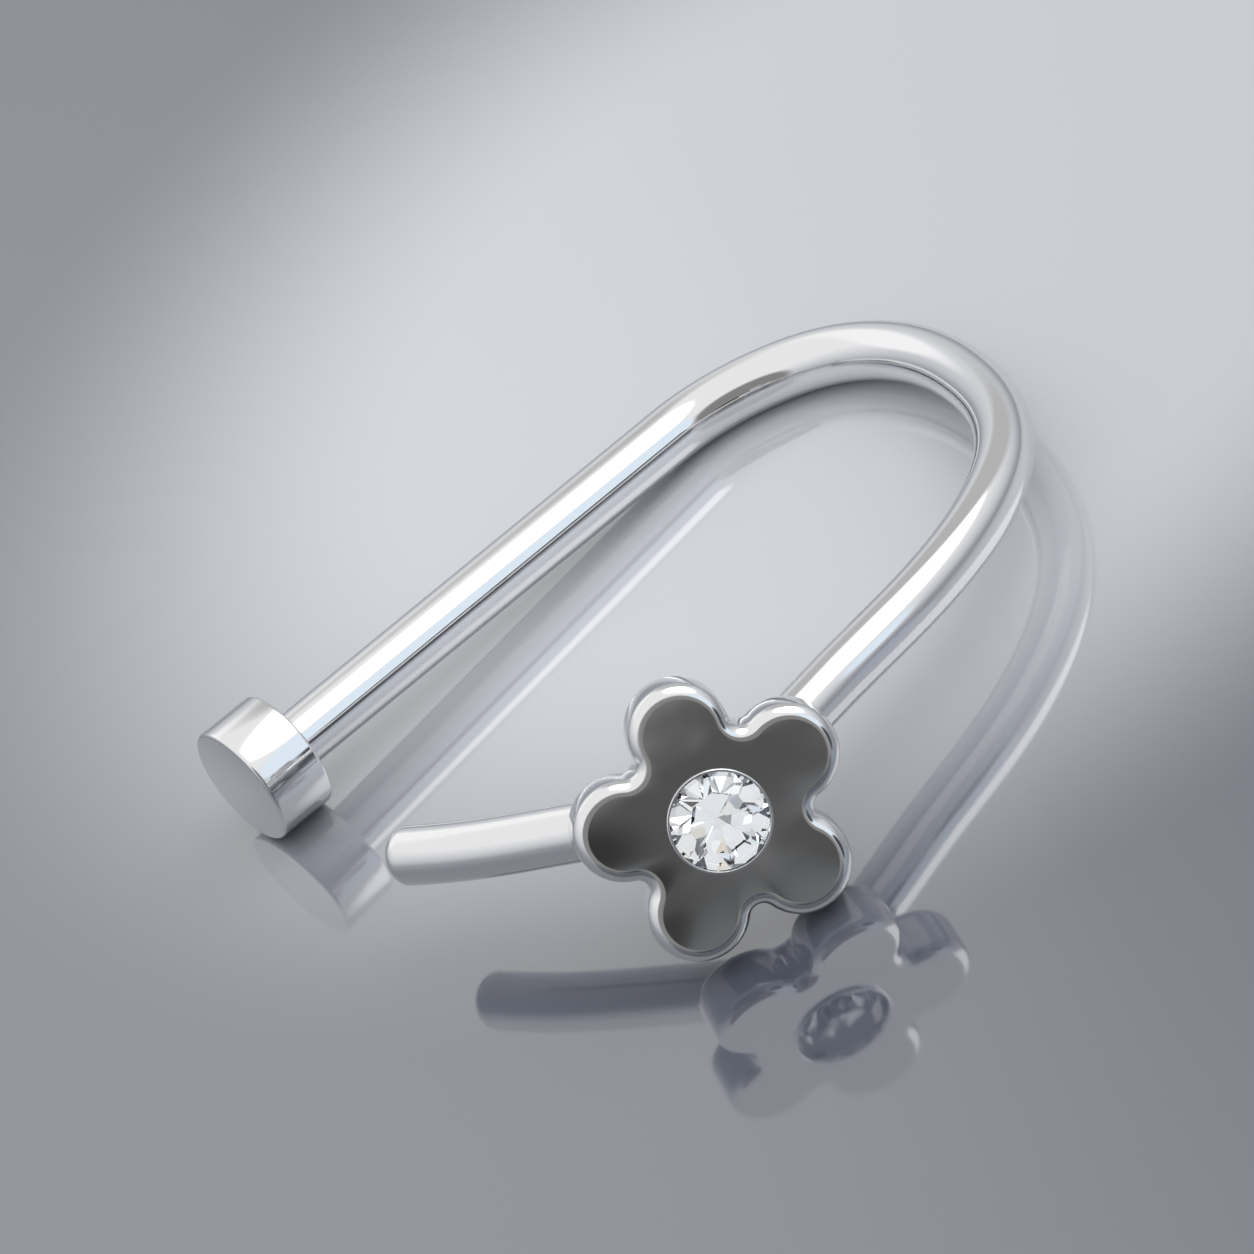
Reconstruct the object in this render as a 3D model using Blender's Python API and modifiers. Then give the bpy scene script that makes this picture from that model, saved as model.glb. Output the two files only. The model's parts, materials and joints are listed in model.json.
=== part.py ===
"""Lip cuff: a bent-wire hoop with a nail head on one end and a gem flower on the part that shows.

The hoop is drawn in its own plane. There +X runs along the straight leg from the nail head, the flower is on
the -Y side and +Z is the upper side. The last step sets the cuff down as it comes to rest by itself.
"""

import math
from collections import namedtuple

import bmesh
import bpy
import numpy as np
from mathutils import Matrix, Vector

MM = 0.001
WELD_DISTANCE = 0.0001 * MM  # corners nearer than this are one corner
CUT_DISTANCE = WELD_DISTANCE / 100  # how near a cut's plane a corner counts as on it
ROUNDING_DIGITS = 8  # of a length in metres
SHARP_ANGLE = math.radians(30)

# Hoop
WIRE_DIAMETER = 0.8 * MM
HOOP_LENGTH = 10.37 * MM  # from the nail head's outer face to the middle of the wire at the bend
HOOP_WIDTH = 8.29 * MM  # between the middles of the wire, from the straight leg to the flower
TIP_ROUNDING = 0.24 * MM
TIP_STEPS = 4
WIRE_STEP = 0.3 * MM  # between the rings of the wire, apart from the straight leg
WIRE_BEVEL_STEPS = 7

# Nail head
HEAD_DIAMETER = 1.74 * MM
HEAD_THICKNESS = 0.87 * MM
HEAD_EDGE = 0.05 * MM
HEAD_EDGE_STEPS = 2
HEAD_SIDES = 48

# Flower
PETALS = 5
PETAL_REACH = 1.92 * MM  # from the middle to the tip of a petal
PETAL_GAP = 0.11 * MM  # between the round outlines of two neighbours
NOTCH_RADIUS = 0.17 * MM
RIM_ROUNDING = 0.19 * MM
RIM_STEPS = 2
WALL_UNDER_STONE = 0.068 * MM
SOLDER_DEPTH = 0.08 * MM  # how far the wire stands into the plate's back
WIRE_SAMPLE = 0.08 * MM  # stretch of the wire that gives its direction behind the flower
FLOWER_STATION = 0.757  # share of the bent stretch, from the straight leg's end to the tip
FLOWER_LEAN = math.radians(14.7)  # how far its face looks up out of the hoop's plane
FLOWER_TURN = math.radians(-6.8)  # how far its face is turned from square to the wire
FLOWER_DROP = 0.12 * MM  # its middle below the middle of the wire
PETAL_TURN = math.radians(13.2)
PETAL_STEPS = 12
NOTCH_STEPS = 4

# Bezel and stone
STONE_DIAMETER = 1.36 * MM
LIP_OVERHANG = 0.02 * MM  # how far the bezel's lip reaches over the stone
BEZEL_WALL = 0.04 * MM
BEZEL_HEIGHT = 0.04 * MM  # above the flower's face
LIP_DEPTH = 0.03 * MM  # below the flower's face
STONE_CLEARANCE = 0.02 * MM
TABLE_SHARE = 0.58  # of the stone's diameter
CROWN_ANGLE = math.radians(34)
PAVILION_ANGLE = math.radians(42.5)
GIRDLE_SHARE = 0.03
CROWN_BREAK_ANGLE = math.radians(8)  # how much steeper the facets along the girdle are cut
STAR_ANGLE = math.radians(21)
STAR_BITE = 0.985  # how near the table's corners the star facets start
PAVILION_BREAK_ANGLE = math.radians(1.6)
STONE_MAINS = 8
STONE_TURN = math.radians(9)
ROUND_SIDES = 48

# Densities in kilograms for each cubic metre, which decide how the cuff comes to rest
STEEL_DENSITY = 7900
STONE_DENSITY = 5700

STEEL = dict(name="polished_steel", color=(0.78, 0.78, 0.79, 1), metallic=1.0, roughness=0.12)
STONE = dict(name="clear_stone", color=(0.95, 0.96, 0.98, 1), metallic=0.0, roughness=0.02)

# The bent stretch of the wire. along and across are shares of HOOP_LENGTH and HOOP_WIDTH.
Station = namedtuple("Station", "along across")
BENT_STRETCH = (
    Station(0.746, 0.000),  # the straight leg's end
    Station(0.893, 0.062),
    Station(0.944, 0.122),
    Station(0.982, 0.212),
    Station(1.000, 0.340),  # the farthest reach of the bend
    Station(0.990, 0.484),
    Station(0.957, 0.627),
    Station(0.886, 0.767),
    Station(0.772, 0.870),
    Station(0.630, 0.930),
    Station(0.474, 0.965),
    Station(0.348, 0.997),
    Station(0.252, 0.987),  # behind the flower
    Station(0.181, 0.913),
    Station(0.125, 0.809),
    Station(0.072, 0.703),
    Station(0.025, 0.595),
    Station(-0.008, 0.502),  # the tip
)


def clear_scene():
    for obj in list(bpy.data.objects):
        bpy.data.objects.remove(obj, do_unlink=True)


def new_collection(name):
    collection = bpy.data.collections.new(name)
    bpy.context.scene.collection.children.link(collection)
    return collection


def new_material(name, color, metallic, roughness):
    material = bpy.data.materials.new(name)
    material.use_nodes = True
    shader = material.node_tree.nodes["Principled BSDF"]
    shader.inputs["Base Color"].default_value = color
    shader.inputs["Metallic"].default_value = metallic
    shader.inputs["Roughness"].default_value = roughness
    return material


def new_object(name, data, collection):
    obj = bpy.data.objects.new(name, data)
    collection.objects.link(obj)
    return obj


def mesh_object(name, bm, collection):
    mesh = bpy.data.meshes.new(name)
    bm.to_mesh(mesh)
    bm.free()
    return new_object(name, mesh, collection)


def mesh_from_curve(obj):
    """The curve as a closed mesh object of the same name and place."""
    name, collection = obj.name, obj.users_collection[0]
    bpy.context.view_layer.update()
    graph = bpy.context.evaluated_depsgraph_get()
    mesh = bpy.data.meshes.new_from_object(obj.evaluated_get(graph))
    bm = bmesh.new()
    bm.from_mesh(mesh)
    bmesh.ops.remove_doubles(bm, verts=bm.verts, dist=WELD_DISTANCE)
    bmesh.ops.recalc_face_normals(bm, faces=bm.faces)
    bm.to_mesh(mesh)
    bm.free()
    place = obj.matrix_world.copy()
    bpy.data.objects.remove(obj, do_unlink=True)
    solid = new_object(name, mesh, collection)
    solid.matrix_world = place
    return solid


def smooth_curve(points, start_direction):
    """A cubic spline through the points, as a function of the distance along the chords, and its length."""
    points = np.array(points, float)
    chords = np.linalg.norm(np.diff(points, axis=0), axis=1)
    knots = np.concatenate([[0], np.cumsum(chords)])
    slopes = np.diff(points, axis=0) / chords[:, None]
    count = len(points)
    matrix = np.zeros((count, count))
    right = np.zeros_like(points)
    matrix[0, 0] = 1
    right[0] = start_direction
    for i in range(1, count - 1):
        matrix[i, i - 1 : i + 2] = chords[i], 2 * (chords[i - 1] + chords[i]), chords[i - 1]
        right[i] = 3 * (chords[i] * slopes[i - 1] + chords[i - 1] * slopes[i])
    matrix[-1, -2:] = 1, 2
    right[-1] = 3 * slopes[-1]
    tangents = np.linalg.solve(matrix, right)

    def at(distance):
        i = min(int(np.searchsorted(knots, distance, side="right")) - 1, count - 2)
        t = (distance - knots[i]) / chords[i]
        here, there = points[i], points[i + 1]
        out, into = tangents[i] * chords[i], tangents[i + 1] * chords[i]
        return (
            (1 + 2 * t) * (1 - t) ** 2 * here
            + t * (1 - t) ** 2 * out
            + t * t * (3 - 2 * t) * there
            + t * t * (t - 1) * into
        )

    return at, knots[-1]


def bent_stretch():
    """The hoop's centreline from the straight leg's end to the tip, and its length."""
    corners = [(s.along * HOOP_LENGTH, -s.across * HOOP_WIDTH) for s in BENT_STRETCH]
    return smooth_curve(corners, (1, 0))


def hoop_wire(collection):
    """The bent wire, from the middle of the nail head to the tip, whose edge is rounded."""
    at, length = bent_stretch()
    radius = WIRE_DIAMETER / 2
    bent = length - TIP_ROUNDING
    rings = math.ceil(bent / WIRE_STEP)
    route = [((HEAD_THICKNESS / 2, 0), 1)] + [(at(bent * i / rings), 1) for i in range(rings + 1)]
    for step in range(1, TIP_STEPS + 1):
        angle = math.pi / 2 * step / TIP_STEPS
        thinner = TIP_ROUNDING * (1 - math.cos(angle))
        route.append((at(bent + TIP_ROUNDING * math.sin(angle)), 1 - thinner / radius))
    curve = bpy.data.curves.new("hoop_wire", "CURVE")
    curve.dimensions = "3D"
    curve.bevel_depth = radius
    curve.bevel_resolution = WIRE_BEVEL_STEPS
    curve.use_fill_caps = True
    spline = curve.splines.new("POLY")
    spline.points.add(len(route) - 1)
    for point, ((x, y), share) in zip(spline.points, route):
        point.co = (x, y, 0, 1)
        point.radius = share
    return mesh_from_curve(new_object("hoop_with_flower", curve, collection))


def nail_head(collection):
    """The thick disc on the straight leg's end, with its outer face at X = 0."""
    bm = bmesh.new()
    turned = Matrix.Translation((HEAD_THICKNESS / 2, 0, 0)) @ Matrix.Rotation(math.pi / 2, 4, "Y")
    bmesh.ops.create_cone(
        bm,
        cap_ends=True,
        segments=HEAD_SIDES,
        radius1=HEAD_DIAMETER / 2,
        radius2=HEAD_DIAMETER / 2,
        depth=HEAD_THICKNESS,
        matrix=turned,
    )
    caps = [face for face in bm.faces if len(face.verts) > 4]
    bmesh.ops.bevel(
        bm,
        geom=[edge for cap in caps for edge in cap.edges],
        offset=HEAD_EDGE,
        offset_type="OFFSET",
        affect="EDGES",
        segments=HEAD_EDGE_STEPS,
        profile=0.5,
        material=-1,
    )
    return mesh_object("nail_head", bm, collection)


def crown_height():
    return STONE_DIAMETER / 2 * (1 - TABLE_SHARE) * math.tan(CROWN_ANGLE)


def pavilion_depth():
    return STONE_DIAMETER / 2 * math.tan(PAVILION_ANGLE)


def girdle_top():
    """The girdle's upper edge, measured from the flower's face: the crown just clears the bezel's lip."""
    return -LIP_DEPTH - STONE_CLEARANCE / math.cos(CROWN_ANGLE) - LIP_OVERHANG * math.tan(CROWN_ANGLE)


def girdle_bottom():
    return girdle_top() - GIRDLE_SHARE * STONE_DIAMETER


def seat_tip():
    return girdle_bottom() - pavilion_depth() - STONE_CLEARANCE / math.cos(PAVILION_ANGLE)


def plate_thickness():
    return WALL_UNDER_STONE - seat_tip()


def petal_outline():
    """The flower's outline: round petals, with a small round notch that touches each pair of neighbours."""
    half = math.pi / PETALS
    middle = (PETAL_REACH + PETAL_GAP / 2) / (1 + math.sin(half))
    radius = PETAL_REACH - middle
    rise = math.sqrt((radius + NOTCH_RADIUS) ** 2 - (middle * math.sin(half)) ** 2)
    notch_middle = middle * math.cos(half) + rise
    touch = math.atan2(notch_middle * math.sin(half), notch_middle * math.cos(half) - middle)
    into_notch = touch + math.pi - half
    outline = []
    for petal in range(PETALS):
        turn = 2 * half * petal
        petal_at = middle * Vector((math.cos(turn), math.sin(turn)))
        for step in range(PETAL_STEPS + 1):
            angle = turn - touch + 2 * touch * step / PETAL_STEPS
            outline.append(petal_at + radius * Vector((math.cos(angle), math.sin(angle))))
        notch_at = notch_middle * Vector((math.cos(turn + half), math.sin(turn + half)))
        sweep = 2 * (math.pi - into_notch)
        for step in range(1, NOTCH_STEPS):
            angle = turn + half + into_notch + sweep * step / NOTCH_STEPS
            outline.append(notch_at + NOTCH_RADIUS * Vector((math.cos(angle), math.sin(angle))))
    return outline


def flower_plate(collection):
    """The flower's thick plate, with its face at Z = 0 and its back below it."""
    curve = bpy.data.curves.new("flower_plate", "CURVE")
    curve.dimensions = "2D"
    curve.fill_mode = "BOTH"
    curve.bevel_depth = RIM_ROUNDING
    curve.bevel_resolution = RIM_STEPS
    curve.offset = -RIM_ROUNDING
    curve.extrude = plate_thickness() / 2 - RIM_ROUNDING
    outline = petal_outline()
    spline = curve.splines.new("POLY")
    spline.points.add(len(outline) - 1)
    spline.use_cyclic_u = True
    for point, (x, y) in zip(spline.points, outline):
        point.co = (x, y, 0, 1)
    plate = new_object("flower_plate", curve, collection)
    plate.location.z = -plate_thickness() / 2
    return mesh_from_curve(plate)


def turned_solid(name, profile, collection):
    """The profile, given as (radius, height) from the top down, turned about Z."""
    bm = bmesh.new()
    corners = [bm.verts.new((radius, 0, height)) for radius, height in profile]
    for first, second in zip(corners, corners[1:]):
        bm.edges.new((first, second))
    obj = mesh_object(name, bm, collection)
    screw = obj.modifiers.new("turn", "SCREW")
    screw.steps = screw.render_steps = ROUND_SIDES
    screw.use_merge_vertices = True
    screw.merge_threshold = WELD_DISTANCE
    return obj


def bezel(collection):
    """The thin round rim that stands proud of the flower's face. Its foot is sunk in the plate."""
    outer = STONE_DIAMETER / 2 - LIP_OVERHANG + BEZEL_WALL
    foot = -plate_thickness() / 2
    profile = [(0, BEZEL_HEIGHT), (outer - BEZEL_HEIGHT / 2, BEZEL_HEIGHT), (outer, BEZEL_HEIGHT / 2)]
    return turned_solid("bezel", profile + [(outer, foot), (0, foot)], collection)


def stone_seat(collection):
    """The hole that holds the stone: the lip's mouth, the girdle's chamber and the cone below."""
    mouth = STONE_DIAMETER / 2 - LIP_OVERHANG
    chamber = STONE_DIAMETER / 2 + STONE_CLEARANCE
    shoulder = seat_tip() + chamber * math.tan(PAVILION_ANGLE)
    above = BEZEL_HEIGHT + STONE_CLEARANCE
    profile = [
        (0, above),
        (mouth, above),
        (mouth, -LIP_DEPTH),
        (chamber, -LIP_DEPTH),
        (chamber, shoulder),
        (0, seat_tip()),
    ]
    return turned_solid("stone_seat", profile, collection)


def cut_facets(bm, count, first_turn, angle, distance, side):
    """Grinds flats evenly round the stone, each at that angle from level and that distance from Z = 0."""
    for facet in range(count):
        turn = first_turn + 2 * math.pi * facet / count
        level = Vector((math.cos(turn), math.sin(turn), 0))
        out = math.sin(angle) * level + side * math.cos(angle) * Vector((0, 0, 1))
        everything = bm.verts[:] + bm.edges[:] + bm.faces[:]
        cut = bmesh.ops.bisect_plane(
            bm, geom=everything, dist=CUT_DISTANCE, plane_co=out * distance, plane_no=out, clear_outer=True
        )
        edges = [item for item in cut["geom_cut"] if isinstance(item, bmesh.types.BMEdge)]
        if edges:
            bmesh.ops.contextual_create(bm, geom=edges)


def brilliant(collection):
    """The round brilliant, with its girdle's upper edge where the seat holds it."""
    radius = STONE_DIAMETER / 2
    girdle = GIRDLE_SHARE * STONE_DIAMETER
    table = crown_height()
    sides = 2 * STONE_MAINS
    half_step = math.pi / sides
    bm = bmesh.new()
    bmesh.ops.create_cone(
        bm,
        cap_ends=True,
        segments=2 * sides,
        radius1=radius,
        radius2=radius,
        depth=table + girdle + pavilion_depth(),
        matrix=Matrix.Translation((0, 0, (table - girdle - pavilion_depth()) / 2)),
    )

    def reach(angle, at_radius, height):
        return math.sin(angle) * at_radius + math.cos(angle) * height

    cut_facets(bm, STONE_MAINS, 0, CROWN_ANGLE, reach(CROWN_ANGLE, radius, 0), 1)
    steeper = CROWN_ANGLE + CROWN_BREAK_ANGLE
    cut_facets(bm, sides, half_step, steeper, reach(steeper, radius, 0), 1)
    star_edge = TABLE_SHARE * radius * STAR_BITE / math.cos(2 * half_step)
    cut_facets(bm, STONE_MAINS, 2 * half_step, STAR_ANGLE, reach(STAR_ANGLE, star_edge, table), 1)
    cut_facets(bm, STONE_MAINS, 0, PAVILION_ANGLE, reach(PAVILION_ANGLE, radius, girdle), -1)
    steeper = PAVILION_ANGLE + PAVILION_BREAK_ANGLE
    cut_facets(bm, sides, half_step, steeper, reach(steeper, radius, girdle), -1)
    bmesh.ops.rotate(bm, verts=bm.verts, matrix=Matrix.Rotation(STONE_TURN, 3, "Z"))
    bmesh.ops.translate(bm, verts=bm.verts, vec=(0, 0, girdle_top()))
    bmesh.ops.triangulate(bm, faces=bm.faces)
    bmesh.ops.recalc_face_normals(bm, faces=bm.faces)
    return mesh_object("stone", bm, collection)


def flower_place():
    """The flower's frame in the hoop's: its origin in the middle of the face, and Z out of the face."""
    at, length = bent_stretch()
    here = Vector((*at(FLOWER_STATION * length), 0))
    along = Vector((*at(FLOWER_STATION * length + WIRE_SAMPLE), 0)) - here
    level_turn = math.atan2(-along.y, -along.x) - FLOWER_TURN
    facing = Matrix.Rotation(level_turn, 4, "Z") @ Matrix.Rotation(math.pi / 2 - FLOWER_LEAN, 4, "X")
    stand_off = WIRE_DIAMETER / 2 - SOLDER_DEPTH + plate_thickness()
    return Matrix.Translation(here) @ facing @ Matrix.Translation((0, -FLOWER_DROP, stand_off))


def combine(base, other, operation):
    """Lets the base take the other piece in, or be cut by it. The other piece then counts as a helper."""
    modifier = base.modifiers.new(other.name, "BOOLEAN")
    modifier.operation = operation
    modifier.solver = "EXACT"
    modifier.object = other
    other.hide_render = True
    other.display_type = "WIRE"


def finished_triangles(obj, graph):
    """The finished piece's triangles in world space, each a row of three points."""
    evaluated = obj.evaluated_get(graph)
    mesh = evaluated.to_mesh()
    mesh.calc_loop_triangles()
    points = np.array([evaluated.matrix_world @ vertex.co for vertex in mesh.vertices])
    triangles = points[[tuple(triangle.vertices) for triangle in mesh.loop_triangles]]
    evaluated.to_mesh_clear()
    return triangles


def centre_of_mass(pieces):
    mass, moment = 0, np.zeros(3)
    for triangles, density in pieces:
        weights = density * np.linalg.det(triangles) / 6
        mass += weights.sum()
        moment += (weights[:, None] * triangles.sum(axis=1) / 4).sum(axis=0)
    return Vector(moment / mass)


def convex_hull(corners):
    bm = bmesh.new()
    for corner in corners:
        bm.verts.new(corner)
    hull = bmesh.ops.convex_hull(bm, input=bm.verts)
    inner = {item for item in hull["geom_interior"] if isinstance(item, bmesh.types.BMVert)}
    bmesh.ops.delete(bm, geom=list(inner), context="VERTS")
    bmesh.ops.recalc_face_normals(bm, faces=bm.faces)
    return bm


def resting_turn(pieces):
    """The turn that sets the pieces, given with their densities, on a level surface as they come to rest.

    What rests stably stands on a face of its convex hull that has the centre of mass straight above it. Of
    such faces this takes the one that needs the least turn from the hoop's own plane.
    """
    centre = centre_of_mass(pieces)
    corners = np.concatenate([triangles.reshape(-1, 3) for triangles, _ in pieces])
    hull = convex_hull(np.unique(np.round(corners, ROUNDING_DIGITS), axis=0))
    stood_on = []
    for face in hull.faces:
        rim = [vertex.co for vertex in face.verts]
        sides = zip(rim, rim[1:] + rim[:1])
        if all(face.normal.dot((b - a).cross(centre - a)) >= 0 for a, b in sides):
            stood_on.append(face.normal.copy())
    hull.free()
    down = min(stood_on, key=lambda normal: normal.z)
    return down.rotation_difference(Vector((0, 0, -1))).to_matrix().to_4x4()


def set_down(group, pieces):
    """Turns the group to rest, with the straight leg along +X, and centres it on the surface at Z = 0."""
    bpy.context.view_layer.update()
    graph = bpy.context.evaluated_depsgraph_get()
    drawn = [(finished_triangles(obj, graph), density) for obj, density in pieces]
    turn = resting_turn(drawn)
    leg = turn @ Vector((1, 0, 0))
    turn = Matrix.Rotation(-math.atan2(leg.y, leg.x), 4, "Z") @ turn
    corners = np.concatenate([triangles.reshape(-1, 3) for triangles, _ in drawn])
    turned = corners @ np.array(turn.to_3x3()).T
    low, high = turned.min(axis=0), turned.max(axis=0)
    middle = (low + high) / 2
    group.matrix_world = Matrix.Translation((-middle[0], -middle[1], -low[2])) @ turn


def shade(obj, material):
    obj.data.materials.clear()
    obj.data.materials.append(material)
    obj.data.shade_smooth()
    obj.data.set_sharp_from_angle(angle=SHARP_ANGLE)


def build_cuff():
    clear_scene()
    cuff = new_collection("lip_cuff")
    helpers = new_collection("solder_parts_and_cutters")
    hoop = hoop_wire(cuff)
    head = nail_head(helpers)
    plate = flower_plate(helpers)
    rim = bezel(helpers)
    seat = stone_seat(helpers)
    stone = brilliant(cuff)
    facing = flower_place()
    plate.matrix_world = facing @ plate.matrix_world @ Matrix.Rotation(PETAL_TURN, 4, "Z")
    for piece in (rim, seat, stone):
        piece.matrix_world = facing
    for piece in (head, plate, rim):
        combine(hoop, piece, "UNION")
    combine(hoop, seat, "DIFFERENCE")
    steel = new_material(**STEEL)
    for piece in (hoop, head, plate, rim):
        shade(piece, steel)
    stone.data.materials.append(new_material(**STONE))
    group = new_object("cuff_at_rest", None, cuff)
    for piece in (hoop, head, plate, rim, seat, stone):
        piece.parent = group
    set_down(group, [(hoop, STEEL_DENSITY), (stone, STONE_DENSITY)])


build_cuff()
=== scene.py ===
"""The polished pieces, finishes and studio of a lip cuff with a gem flower.

The hoop is drawn in its own frame. There +X runs along the straight leg from the nail head's outer face, the
flower is on the -Y side and +Z is the upper side. hoop_place() lays that frame where the solid hoop rests.
"""

import json
import math
from collections import namedtuple

import bmesh
import bpy
import numpy as np
from bpy.props import FloatProperty, FloatVectorProperty, IntProperty, PointerProperty
from mathutils import Matrix, Vector


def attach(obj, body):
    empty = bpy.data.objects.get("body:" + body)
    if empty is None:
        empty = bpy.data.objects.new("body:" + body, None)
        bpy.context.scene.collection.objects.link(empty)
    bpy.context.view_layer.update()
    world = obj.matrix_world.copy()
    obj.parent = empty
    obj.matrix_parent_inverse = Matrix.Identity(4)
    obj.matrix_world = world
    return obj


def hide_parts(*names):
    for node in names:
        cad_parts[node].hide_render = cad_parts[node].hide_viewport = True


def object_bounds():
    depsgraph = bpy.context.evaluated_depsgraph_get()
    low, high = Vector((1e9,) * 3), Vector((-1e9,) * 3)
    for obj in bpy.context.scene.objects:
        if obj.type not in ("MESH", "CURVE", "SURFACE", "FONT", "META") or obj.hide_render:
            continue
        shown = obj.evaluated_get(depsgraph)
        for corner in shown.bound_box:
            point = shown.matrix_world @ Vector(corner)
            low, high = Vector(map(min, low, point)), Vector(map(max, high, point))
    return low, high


bl_info = {
    "name": "Flower Lip Cuff",
    "version": (1, 0, 0),
    "blender": (4, 5, 0),
    "location": "3D Viewport > Sidebar > Lip Cuff",
    "description": "Makes a polished steel lip cuff with a nail head, a flower and a cut stone",
    "category": "Add Mesh",
}

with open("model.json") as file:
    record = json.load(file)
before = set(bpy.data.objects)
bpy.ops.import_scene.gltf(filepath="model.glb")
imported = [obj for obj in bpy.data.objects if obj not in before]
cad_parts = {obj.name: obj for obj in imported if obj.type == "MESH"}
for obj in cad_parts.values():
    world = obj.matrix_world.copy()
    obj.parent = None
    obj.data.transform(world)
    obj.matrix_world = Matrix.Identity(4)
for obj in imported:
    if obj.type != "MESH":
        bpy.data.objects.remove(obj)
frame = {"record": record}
CAD_LOW, CAD_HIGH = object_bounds()

MM = 0.001
BODY = "root"
WELD_DISTANCE = 1e-8
TIP_WELD = 3 * WELD_DISTANCE  # gathers the last tiny ring of a cone in its tip
OUTLINE_WELD = MM / 1000  # closes the flower's outline where its last arc meets its first
SAME_PLACE = 10 * WELD_DISTANCE  # vertices nearer than this to a radius or height lie on it
CUT_DISTANCE = 1e-9
SHARP_ANGLE = math.radians(30)
WIRE_SAMPLE = 0.08 * MM  # stretch of the wire that gives its direction behind the flower
NUDGE_SHARE = 0.1  # of the ring step, the stretch that gives the wire's direction at a ring
HIDDEN_SHARE = 0.25  # of a fillet or the solder, how deep its hidden edge goes into the next piece
EDGE_STEPS = 6  # faces across the small rounded edges of the nail head
RIM_STEPS = 8  # faces across the flower's rounded rim
BEZEL_STEPS = 5  # faces across the bezel's rounded top edges
BEZEL_ROUNDING = 0.45  # of the bezel's wall or height, whichever is less
SOLDER_RINGS = 16
FLAT_WEIGHT = 100  # how far the larger faces rule the shading, at its most
SENSOR_WIDTH = 36  # millimetres
CLIP_START, CLIP_END = 0.001, 10

# Marks on the steel. scale is in noise cells to the metre and turn in radians. A mark starts where the noise
# is at low and is whole at high.
Marks = namedtuple("Marks", "scale turn low high")
DRAW_LINES_SCALE = (400, 400, 45000)  # long in the hoop's plane and fine across it
HAIRLINES = (
    Marks((900, 900, 60000), (0.5, 0.35, 0), 0.66, 0.74),
    Marks((700, 700, 70000), (-0.7, 0.6, 0.4), 0.67, 0.75),
)
SMEARS = Marks((500, 700, 600), (0.3, 0.8, 0.2), 0.4, 0.8)
SCRATCH_ROUGHNESS = 0.03

# The bent stretch of the wire. along and across are shares of the hoop's length and width.
Station = namedtuple("Station", "along across")
BENT_STRETCH = (
    Station(0.746, 0.000),  # the straight leg's end
    Station(0.893, 0.062),
    Station(0.944, 0.122),
    Station(0.982, 0.212),
    Station(1.000, 0.340),  # the farthest reach of the bend
    Station(0.990, 0.484),
    Station(0.957, 0.627),
    Station(0.886, 0.767),
    Station(0.772, 0.870),
    Station(0.630, 0.930),
    Station(0.474, 0.965),
    Station(0.348, 0.997),
    Station(0.252, 0.987),  # behind the flower
    Station(0.181, 0.913),
    Station(0.125, 0.809),
    Station(0.072, 0.703),
    Station(0.025, 0.595),
    Station(-0.008, 0.502),  # the tip
)


def size(name, millimetres, description):
    """A length that the user can change, in Blender's own metres."""
    return FloatProperty(
        name=name,
        description=description,
        default=millimetres * MM,
        min=0,
        precision=5,
        unit="LENGTH",
    )


def angle(name, degrees, description):
    return FloatProperty(
        name=name, description=description, default=math.radians(degrees), unit="ROTATION", subtype="ANGLE"
    )


def amount(name, value, description, highest=1):
    return FloatProperty(name=name, description=description, default=value, min=0, max=highest, precision=4)


def count(name, number, description):
    return IntProperty(name=name, description=description, default=number, min=1)


def color(name, red, green, blue, description):
    return FloatVectorProperty(
        name=name, description=description, default=(red, green, blue), min=0, max=1, size=3, subtype="COLOR"
    )


class HoopSizes(bpy.types.PropertyGroup):
    """The bent wire."""

    wire: size("Wire", 0.8, "Diameter of the round wire")
    length: size("Length", 10.37, "From the nail head's outer face to the middle of the wire at the bend")
    width: size("Width", 8.29, "Between the middles of the wire, from the straight leg to the flower")
    tip_rounding: size("Tip rounding", 0.24, "Radius of the edge at the cut end of the wire")
    tip_rings: count("Tip rings", 8, "Rings round the rounded edge of the tip")
    ring_step: size("Ring step", 0.06, "Distance between the rings of the bent stretch")
    sides: count("Sides", 96, "Faces round the wire")
    roll: angle("Roll", -5.726, "How far the hoop leans about its straight leg as it lies at rest")


class HeadSizes(bpy.types.PropertyGroup):
    """The nail head on the straight leg's end."""

    diameter: size("Diameter", 1.74, "Across the nail head")
    thickness: size("Thickness", 0.87, "Of the nail head, along the wire")
    edge: size("Edge", 0.05, "Radius of its two round edges")
    collar: size("Collar", 0.05, "Radius of the fillet between the nail head and the wire")
    sides: count("Sides", 160, "Faces round the nail head")


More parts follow.
